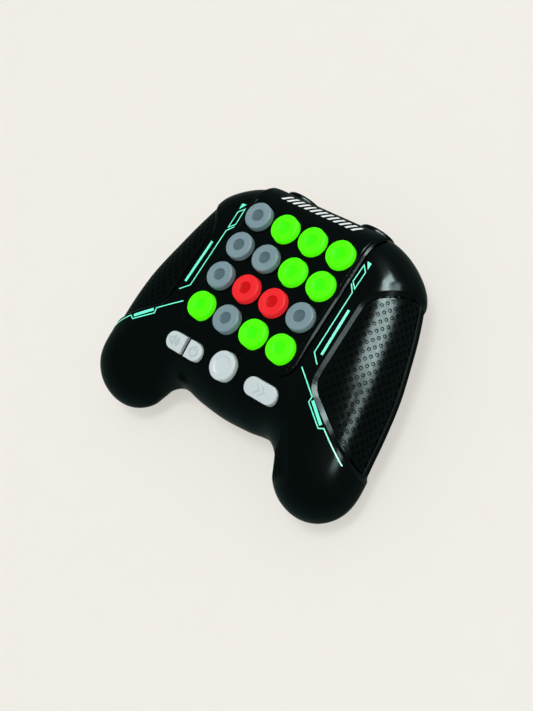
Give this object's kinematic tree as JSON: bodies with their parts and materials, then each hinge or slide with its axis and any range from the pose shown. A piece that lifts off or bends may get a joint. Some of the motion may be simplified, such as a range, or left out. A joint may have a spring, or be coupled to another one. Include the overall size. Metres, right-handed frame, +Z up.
{
  "type": "electronic reflex game",
  "caption": "Two-handled hand-held reflex game with a square grid of lit push buttons, small control buttons in front, two round rear buttons and textured side grips.",
  "frame": {"origin": "under the middle of the bounding box, on the surface it lies on", "axes": "+X to the right hand, +Y to the rear away from the player, +Z up through the light buttons"},
  "size_m": [0.1538, 0.1259, 0.048],
  "materials": {
    "shell_plastic": "satin moulded black ABS",
    "panel_plastic": "gloss black moulded ABS sheet",
    "grip_plastic": "matt, fine grained with rows of small pits",
    "key_grey": "translucent silicone rubber key, unlit",
    "key_green": "translucent key lit green",
    "key_red": "translucent key lit red",
    "key_white": "satin white moulded ABS",
    "mat_rubber": "moulded silicone rubber",
    "board_laminate": "green solder mask on glass-fibre laminate",
    "screw_steel": "zinc plated steel",
    "cell_wrapper": "printed film on a steel can, plain colour",
    "contact_steel": "nickel plated spring steel",
    "speaker_body": "black speaker basket and magnet",
    "lead_black": "black insulation",
    "lead_red": "red insulation"
  },
  "bodies": {
    "housing": {"top_shell": "shell_plastic", "bottom_shell": "shell_plastic", "button_panel": "panel_plastic", "right_grip": "grip_plastic", "left_grip": "grip_plastic", "light_button_mat": "mat_rubber", "control_button_mat": "mat_rubber", "main_board": "board_laminate", "control_board": "board_laminate", "left_switch_board": "board_laminate", "right_switch_board": "board_laminate", "board_screw_front_left": "screw_steel", "board_screw_front_right": "screw_steel", "board_screw_rear_left": "screw_steel", "board_screw_rear_right": "screw_steel", "control_screw_left": "screw_steel", "control_screw_right": "screw_steel", "shell_screw_rear_left": "screw_steel", "shell_screw_rear_right": "screw_steel", "shell_screw_middle_left": "screw_steel", "shell_screw_middle_right": "screw_steel", "shell_screw_handle_left": "screw_steel", "shell_screw_handle_right": "screw_steel", "battery_door_screw": "screw_steel", "battery_door": "shell_plastic", "battery_cell_1": "cell_wrapper", "battery_cell_2": "cell_wrapper", "battery_cell_3": "cell_wrapper", "battery_contact_left_pair": "contact_steel", "battery_contact_left_single": "contact_steel", "battery_contact_right_single": "contact_steel", "battery_contact_right_pair": "contact_steel", "speaker": "speaker_body", "battery_lead_black": "lead_black", "battery_lead_red": "lead_red", "speaker_lead": "lead_red"},
    "light_button_r1c1_body": {"light_button_r1c1": "key_grey"},
    "light_button_r1c2_body": {"light_button_r1c2": "key_green"},
    "light_button_r1c3_body": {"light_button_r1c3": "key_green"},
    "light_button_r1c4_body": {"light_button_r1c4": "key_green"},
    "light_button_r2c1_body": {"light_button_r2c1": "key_grey"},
    "light_button_r2c2_body": {"light_button_r2c2": "key_grey"},
    "light_button_r2c3_body": {"light_button_r2c3": "key_green"},
    "light_button_r2c4_body": {"light_button_r2c4": "key_green"},
    "light_button_r3c1_body": {"light_button_r3c1": "key_grey"},
    "light_button_r3c2_body": {"light_button_r3c2": "key_red"},
    "light_button_r3c3_body": {"light_button_r3c3": "key_red"},
    "light_button_r3c4_body": {"light_button_r3c4": "key_grey"},
    "light_button_r4c1_body": {"light_button_r4c1": "key_green"},
    "light_button_r4c2_body": {"light_button_r4c2": "key_grey"},
    "light_button_r4c3_body": {"light_button_r4c3": "key_green"},
    "light_button_r4c4_body": {"light_button_r4c4": "key_green"},
    "sound_button_body": {"sound_button": "key_white"},
    "power_button_body": {"power_button": "key_white"},
    "mode_button_body": {"mode_button": "key_white"},
    "start_button_body": {"start_button": "key_white"},
    "left_rear_knob_body": {"left_rear_knob": "shell_plastic"},
    "right_rear_knob_body": {"right_rear_knob": "shell_plastic"}
  },
  "joints": [
    {"name": "light_button_r1c1_press", "type": "slide", "parent": "housing", "child": "light_button_r1c1_body", "axis": [0, 0, -1], "range_m": [0, 0.0012], "stiffness_N_per_m": 400},
    {"name": "light_button_r1c2_press", "type": "slide", "parent": "housing", "child": "light_button_r1c2_body", "axis": [0, 0, -1], "range_m": [0, 0.0012], "stiffness_N_per_m": 400},
    {"name": "light_button_r1c3_press", "type": "slide", "parent": "housing", "child": "light_button_r1c3_body", "axis": [0, 0, -1], "range_m": [0, 0.0012], "stiffness_N_per_m": 400},
    {"name": "light_button_r1c4_press", "type": "slide", "parent": "housing", "child": "light_button_r1c4_body", "axis": [0, 0, -1], "range_m": [0, 0.0012], "stiffness_N_per_m": 400},
    {"name": "light_button_r2c1_press", "type": "slide", "parent": "housing", "child": "light_button_r2c1_body", "axis": [0, 0, -1], "range_m": [0, 0.0012], "stiffness_N_per_m": 400},
    {"name": "light_button_r2c2_press", "type": "slide", "parent": "housing", "child": "light_button_r2c2_body", "axis": [0, 0, -1], "range_m": [0, 0.0012], "stiffness_N_per_m": 400},
    {"name": "light_button_r2c3_press", "type": "slide", "parent": "housing", "child": "light_button_r2c3_body", "axis": [0, 0, -1], "range_m": [0, 0.0012], "stiffness_N_per_m": 400},
    {"name": "light_button_r2c4_press", "type": "slide", "parent": "housing", "child": "light_button_r2c4_body", "axis": [0, 0, -1], "range_m": [0, 0.0012], "stiffness_N_per_m": 400},
    {"name": "light_button_r3c1_press", "type": "slide", "parent": "housing", "child": "light_button_r3c1_body", "axis": [0, 0, -1], "range_m": [0, 0.0012], "stiffness_N_per_m": 400},
    {"name": "light_button_r3c2_press", "type": "slide", "parent": "housing", "child": "light_button_r3c2_body", "axis": [0, 0, -1], "range_m": [0, 0.0012], "stiffness_N_per_m": 400},
    {"name": "light_button_r3c3_press", "type": "slide", "parent": "housing", "child": "light_button_r3c3_body", "axis": [0, 0, -1], "range_m": [0, 0.0012], "stiffness_N_per_m": 400},
    {"name": "light_button_r3c4_press", "type": "slide", "parent": "housing", "child": "light_button_r3c4_body", "axis": [0, 0, -1], "range_m": [0, 0.0012], "stiffness_N_per_m": 400},
    {"name": "light_button_r4c1_press", "type": "slide", "parent": "housing", "child": "light_button_r4c1_body", "axis": [0, 0, -1], "range_m": [0, 0.0012], "stiffness_N_per_m": 400},
    {"name": "light_button_r4c2_press", "type": "slide", "parent": "housing", "child": "light_button_r4c2_body", "axis": [0, 0, -1], "range_m": [0, 0.0012], "stiffness_N_per_m": 400},
    {"name": "light_button_r4c3_press", "type": "slide", "parent": "housing", "child": "light_button_r4c3_body", "axis": [0, 0, -1], "range_m": [0, 0.0012], "stiffness_N_per_m": 400},
    {"name": "light_button_r4c4_press", "type": "slide", "parent": "housing", "child": "light_button_r4c4_body", "axis": [0, 0, -1], "range_m": [0, 0.0012], "stiffness_N_per_m": 400},
    {"name": "sound_button_press", "type": "slide", "parent": "housing", "child": "sound_button_body", "axis": [0, 0.1386, -0.9903], "range_m": [0, 0.001], "stiffness_N_per_m": 400},
    {"name": "power_button_press", "type": "slide", "parent": "housing", "child": "power_button_body", "axis": [0, 0.1386, -0.9903], "range_m": [0, 0.001], "stiffness_N_per_m": 400},
    {"name": "mode_button_press", "type": "slide", "parent": "housing", "child": "mode_button_body", "axis": [0, 0.1386, -0.9903], "range_m": [0, 0.001], "stiffness_N_per_m": 400},
    {"name": "start_button_press", "type": "slide", "parent": "housing", "child": "start_button_body", "axis": [0, 0.1386, -0.9903], "range_m": [0, 0.001], "stiffness_N_per_m": 400},
    {"name": "left_rear_knob_press", "type": "slide", "parent": "housing", "child": "left_rear_knob_body", "axis": [0, -1, 0], "range_m": [0, 0.002], "stiffness_N_per_m": 400},
    {"name": "right_rear_knob_press", "type": "slide", "parent": "housing", "child": "right_rear_knob_body", "axis": [0, -1, 0], "range_m": [0, 0.002], "stiffness_N_per_m": 400}
  ]
}
